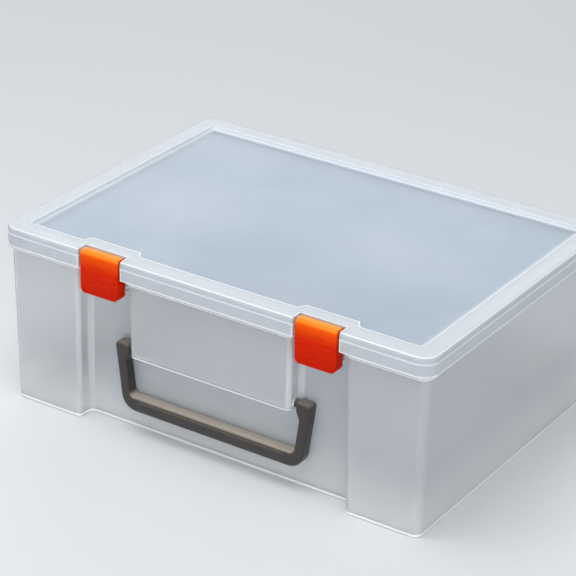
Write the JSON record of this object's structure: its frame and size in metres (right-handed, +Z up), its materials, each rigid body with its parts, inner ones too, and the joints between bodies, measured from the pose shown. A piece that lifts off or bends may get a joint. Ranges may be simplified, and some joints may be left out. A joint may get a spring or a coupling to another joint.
{
  "type": "plastic storage case",
  "caption": "Translucent carry case with a hinged lid, snap latches and a swinging handle in a recess across the front.",
  "frame": {"origin": "middle of the space that the closed case covers, hinges included, on the surface that it stands on", "axes": "+X along the front from left to right, +Y from the front with the latches to the back with the hinges, +Z up"},
  "size_m": [0.37, 0.2741, 0.1455],
  "materials": {
    "translucent_tub": "moulded translucent polypropylene",
    "translucent_lid": "moulded translucent polypropylene",
    "orange_latch": "moulded orange polypropylene",
    "grey_handle": "moulded warm grey polypropylene"
  },
  "bodies": {
    "tub": {"tub": "translucent_tub"},
    "lid": {"lid": "translucent_lid"},
    "latch_left": {"latch_left": "orange_latch"},
    "latch_right": {"latch_right": "orange_latch"},
    "handle": {"handle": "grey_handle"}
  },
  "joints": [
    {"name": "lid_hinge", "type": "hinge", "parent": "tub", "child": "lid", "pos_m": [0, 0.13345, 0.129], "axis": [-1, 0, 0], "range_deg": [0, 110]},
    {"name": "latch_left_pivot", "type": "hinge", "parent": "lid", "child": "latch_left", "pos_m": [-0.0937, -0.13035, 0.1424], "axis": [-1, 0, 0], "range_deg": [0, 90]},
    {"name": "latch_right_pivot", "type": "hinge", "parent": "lid", "child": "latch_right", "pos_m": [0.0937, -0.13035, 0.1424], "axis": [-1, 0, 0], "range_deg": [0, 90]},
    {"name": "handle_swing", "type": "hinge", "parent": "tub", "child": "handle", "pos_m": [0, -0.12356, 0.0716], "axis": [-1, 0, 0], "range_deg": [0, 140]}
  ]
}
